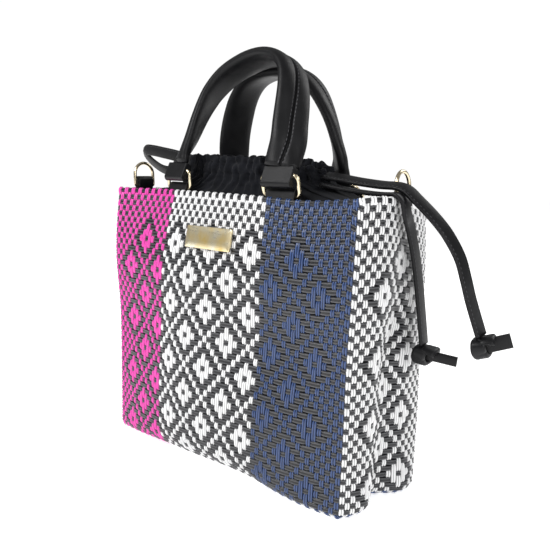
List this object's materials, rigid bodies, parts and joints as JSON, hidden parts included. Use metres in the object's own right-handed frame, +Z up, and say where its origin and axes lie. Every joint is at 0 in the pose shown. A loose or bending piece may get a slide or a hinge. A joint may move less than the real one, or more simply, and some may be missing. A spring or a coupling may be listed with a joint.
{
  "type": "drawstring crossbody bag",
  "caption": "Woven tote-shaped handbag with a gathered drawstring collar, leather top handles on metal rings and D-rings for a crossbody strap.",
  "frame": {"origin": "middle of the bag's flat bottom, on the surface it stands on", "axes": "+X to the bag's right as seen from its front, +Y to its rear, +Z up"},
  "size_m": [0.383, 0.1286, 0.3566],
  "materials": {
    "woven_strips": "semi-gloss plastic strips, woven",
    "black_cloth": "matt gathered cloth",
    "black_leather": "smooth satin leather",
    "light_gold": "polished",
    "champagne_plate": "polished, blank"
  },
  "bodies": {
    "bag": {"woven_body": "woven_strips", "gathered_collar": "black_cloth", "front_handle": "black_leather", "rear_handle": "black_leather", "handle_tab_front_left": "black_leather", "handle_ring_front_left": "light_gold", "handle_loop_front_left": "black_leather", "handle_tab_front_right": "black_leather", "handle_ring_front_right": "light_gold", "handle_loop_front_right": "black_leather", "handle_tab_rear_left": "black_leather", "handle_ring_rear_left": "light_gold", "handle_loop_rear_left": "black_leather", "handle_tab_rear_right": "black_leather", "handle_ring_rear_right": "light_gold", "handle_loop_rear_right": "black_leather", "d_ring_tab_left": "black_leather", "d_ring_tab_right": "black_leather", "metal_plate": "champagne_plate", "drawstring_upper_strand": "black_leather", "drawstring_lower_strand": "black_leather", "drawstring_left_loop": "black_leather", "upper_knot": "black_leather", "lower_knot": "black_leather"},
    "left_d_ring": {"d_ring_left": "light_gold"},
    "right_d_ring": {"d_ring_right": "light_gold"}
  },
  "joints": [
    {"name": "left_d_ring_swing", "type": "hinge", "parent": "bag", "child": "left_d_ring", "pos_m": [-0.13294, -0.026, 0.24073], "axis": [0.043, -0.9991, 0], "range_deg": [-80, 80]},
    {"name": "right_d_ring_swing", "type": "hinge", "parent": "bag", "child": "right_d_ring", "pos_m": [0.14332, 0.00801, 0.23797], "axis": [-0.1554, 0.9879, 0], "range_deg": [-80, 80]}
  ]
}
